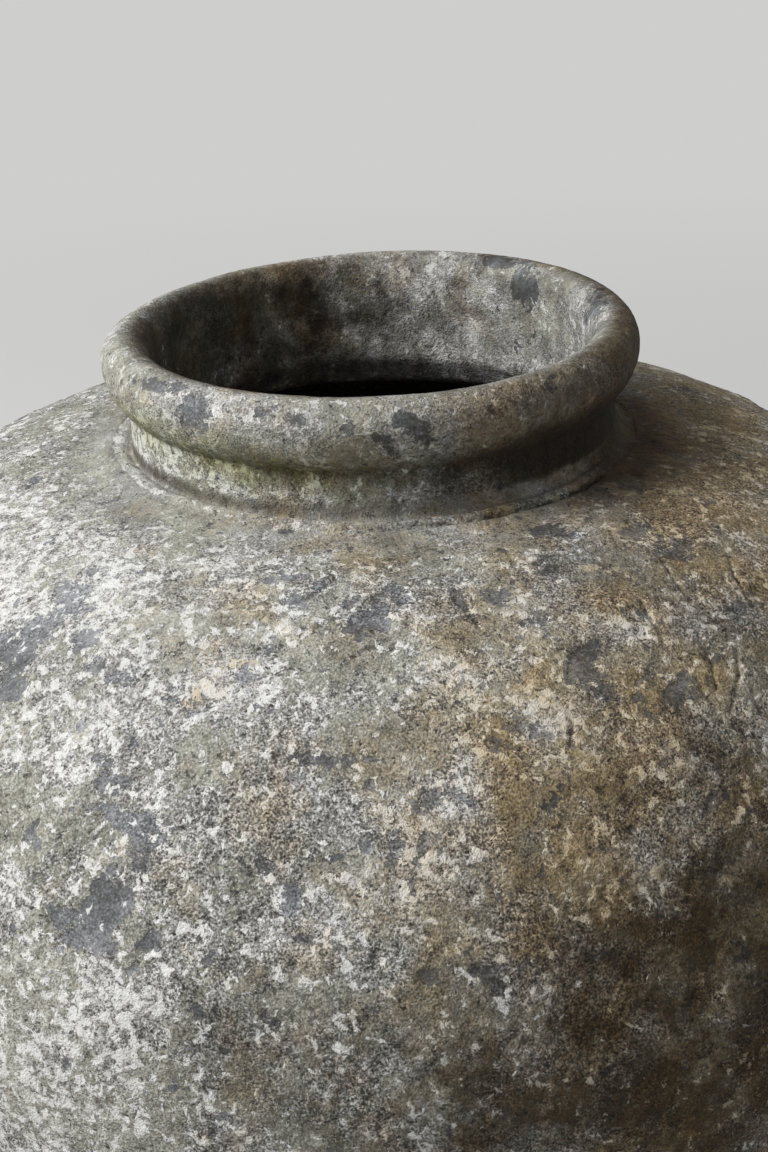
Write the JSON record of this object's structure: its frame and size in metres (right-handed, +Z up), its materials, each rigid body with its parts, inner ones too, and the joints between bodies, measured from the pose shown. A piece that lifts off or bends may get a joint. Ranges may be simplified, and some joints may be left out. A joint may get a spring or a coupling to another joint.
{
  "type": "storage jar",
  "caption": "Large hand-built storage jar with a round shoulder, a short neck with a luted collar, and a thick rolled rim, on a small flat base.",
  "frame": {"origin": "centre of the flat underside, on the floor", "axes": "+Z up along the jar's axis of turning, -Y towards the viewer of the picture"},
  "size_m": [0.5396, 0.5396, 0.4525],
  "materials": {
    "bare_foot": "bare worn earthenware, matt",
    "crusted_body": "weathered earthenware under a granular lime crust, matt",
    "pale_crust": "weathered earthenware under a pale lime crust, matt",
    "mossy_neck": "dark earthenware with a thin green growth, matt"
  },
  "bodies": {
    "root": {"base_slab": "bare_foot", "base_seam_coil": "bare_foot", "foot_course": "crusted_body", "lower_wall_course": "crusted_body", "lower_belly_course": "crusted_body", "upper_belly_course": "crusted_body", "lower_shoulder_course": "crusted_body", "upper_shoulder_course": "pale_crust", "neck_ring": "mossy_neck", "neck_collar": "mossy_neck", "rim_roll": "pale_crust"}
  },
  "joints": []
}
